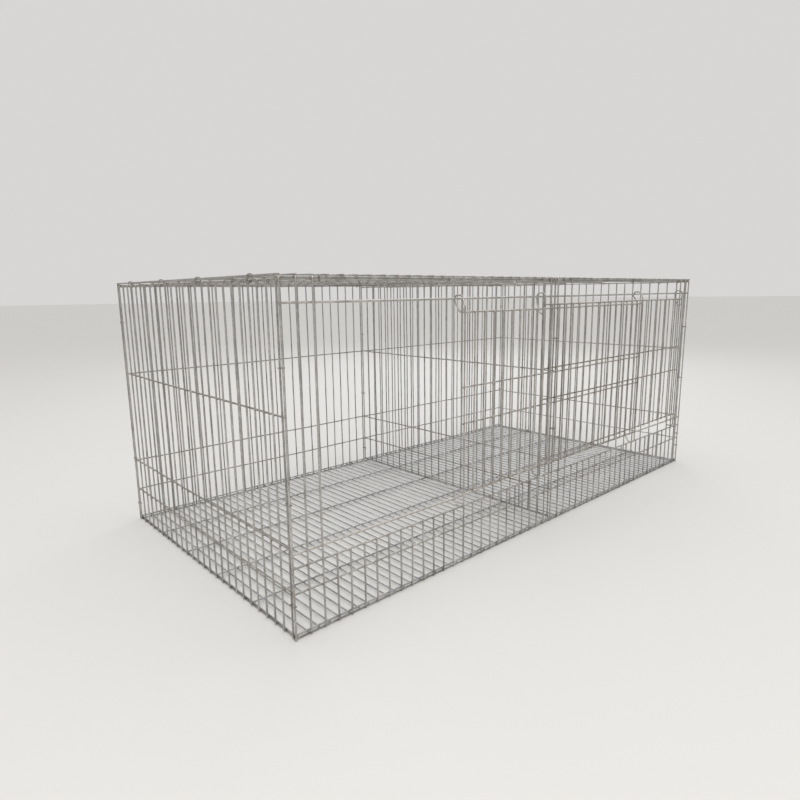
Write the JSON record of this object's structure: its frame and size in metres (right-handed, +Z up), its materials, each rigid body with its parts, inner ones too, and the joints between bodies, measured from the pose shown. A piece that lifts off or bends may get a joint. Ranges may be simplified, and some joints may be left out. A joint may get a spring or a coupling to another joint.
{
  "type": "wire animal cage",
  "caption": "Long welded wire cage for small animals, split in two by a divider, with two sliding front doors hung on rails.",
  "frame": {"origin": "centre of the bounding box on the surface the cage stands on", "axes": "+X along the front to the viewer's right, +Y from the front to the back, +Z up"},
  "size_m": [1.257, 0.645, 0.5065],
  "materials": {
    "cage_wire": "galvanised, dull",
    "door_wire": "galvanised, dull",
    "rail_wire": "galvanised, rubbed bright by the hooks",
    "floor_wire": "galvanised, dull",
    "clip_wire": "galvanised, darkened"
  },
  "bodies": {
    "cage": {"back_corner_uprights": "cage_wire", "back_cross_wires": "cage_wire", "back_left_clips": "clip_wire", "back_right_clips": "clip_wire", "back_roof_clips": "clip_wire", "back_uprights": "cage_wire", "divider_back_clips": "clip_wire", "divider_cross_wires": "cage_wire", "divider_front_clips": "clip_wire", "divider_uprights": "cage_wire", "door_rails": "rail_wire", "floor_cross_wires": "floor_wire", "floor_wires": "floor_wire", "front_corner_uprights": "cage_wire", "front_cross_wires": "cage_wire", "front_left_clips": "clip_wire", "front_right_clips": "clip_wire", "front_roof_clips": "clip_wire", "front_short_uprights": "cage_wire", "front_tall_uprights": "cage_wire", "left_end_cross_wires": "cage_wire", "left_end_uprights": "cage_wire", "left_roof_clips": "clip_wire", "right_end_cross_wires": "cage_wire", "right_end_uprights": "cage_wire", "right_roof_clips": "clip_wire", "roof_cross_wires": "cage_wire", "roof_wires": "cage_wire"},
    "left_door": {"left_door_cross_wires": "door_wire", "left_door_hooks": "door_wire", "left_door_uprights": "door_wire"},
    "right_door": {"right_door_cross_wires": "door_wire", "right_door_hooks": "door_wire", "right_door_uprights": "door_wire"}
  },
  "joints": [
    {"name": "left_door_slide", "type": "slide", "parent": "cage", "child": "left_door", "axis": [1, 0, 0], "range_m": [-0.278, 0]},
    {"name": "right_door_slide", "type": "slide", "parent": "cage", "child": "right_door", "axis": [1, 0, 0], "range_m": [-0.23, 0]}
  ]
}
